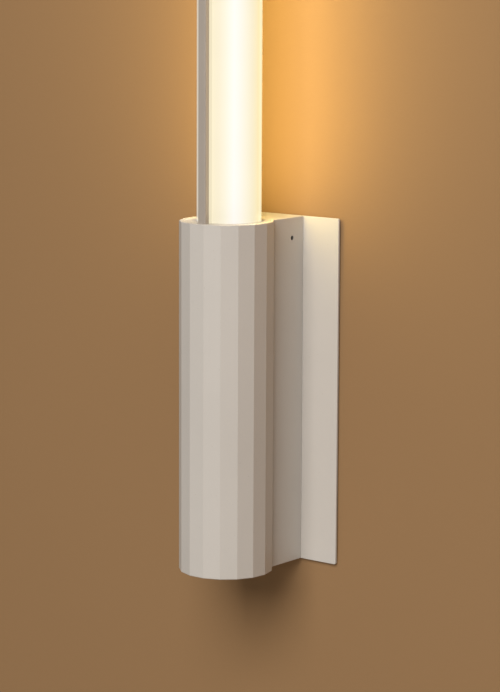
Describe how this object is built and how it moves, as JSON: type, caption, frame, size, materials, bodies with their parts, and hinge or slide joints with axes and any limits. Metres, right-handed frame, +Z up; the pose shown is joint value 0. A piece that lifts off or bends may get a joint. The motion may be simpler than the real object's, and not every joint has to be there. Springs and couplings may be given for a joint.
{
  "type": "tube wall light",
  "caption": "Wall light with a glowing opal tube on a slim spine, standing in a faceted column whose neck slides over a channel bracket on a flat wall plate.",
  "frame": {"origin": "on the wall surface behind the wall plate, on the plate's centre line and at the column's mid-height", "axes": "+Z up along the tube, +Y into the wall, +X to the right along the wall for someone who faces the light"},
  "size_m": [0.098, 0.0864, 0.61],
  "materials": {
    "powder_coat": "fine satin powder coat, warm light grey",
    "dark_screw": "blackened steel",
    "zinc_steel": "zinc plated sheet",
    "black_plastic": "moulded",
    "black_rubber": "moulded",
    "zinc_screw": "zinc plated",
    "opal": "opal, satin outside, lit from inside",
    "driver_plastic": "moulded",
    "earth_wire": "insulation",
    "brass_screw": "plain brass",
    "tinned_brass": "tinned",
    "white_board": "white solder mask",
    "led_chip": "yellow phosphor",
    "connector_white": "moulded",
    "black_wire": "insulation",
    "red_wire": "insulation",
    "brown_wire": "insulation",
    "blue_wire": "insulation",
    "satin_coat": "satin, warm grey",
    "terminal_plastic": "moulded",
    "socket_plastic": "moulded",
    "gasket_foam": "closed-cell foam"
  },
  "bodies": {
    "wall_side": {"wall_gasket": "gasket_foam", "wall_plate": "powder_coat", "mounting_bracket": "zinc_steel", "bracket_rivets": "zinc_steel", "cable_grommet": "black_rubber", "earth_washer": "zinc_steel", "earth_screw": "brass_screw"},
    "lamp": {"body_profile": "powder_coat", "bottom_cap": "powder_coat", "bottom_cap_screws": "dark_screw", "cable_clamp": "black_plastic", "chassis_tray": "zinc_steel", "clamp_screws": "zinc_screw", "diffuser_tube": "opal", "driver_case": "driver_plastic", "driver_lid": "driver_plastic", "driver_screws": "zinc_screw", "earth_lead": "earth_wire", "earth_tag": "tinned_brass", "earth_tag_screw": "brass_screw", "end_cap_screw": "zinc_screw", "foot_screws": "dark_screw", "led_board": "white_board", "led_chips": "led_chip", "led_connector": "connector_white", "led_lead_negative": "black_wire", "led_lead_positive": "red_wire", "light_seal": "black_rubber", "live_lead": "brown_wire", "neutral_lead": "blue_wire", "socket_screws": "zinc_screw", "spine": "satin_coat", "spine_screws": "zinc_screw", "terminal_block": "terminal_plastic", "terminal_fixing_screw": "zinc_screw", "terminal_screws": "brass_screw", "top_cap": "powder_coat", "tube_end_cap": "powder_coat", "tube_socket": "socket_plastic"},
    "lock_left": {"lock_screw_left": "dark_screw"},
    "lock_right": {"lock_screw_right": "dark_screw"}
  },
  "joints": [
    {"name": "lamp_pull_off", "type": "slide", "parent": "wall_side", "child": "lamp", "axis": [0, -1, 0], "range_m": [0, 0.03]},
    {"name": "lock_left_out", "type": "slide", "parent": "lamp", "child": "lock_left", "axis": [-1, 0, 0], "range_m": [0, 0.0025]},
    {"name": "lock_right_out", "type": "slide", "parent": "lamp", "child": "lock_right", "axis": [1, 0, 0], "range_m": [0, 0.0025]}
  ]
}
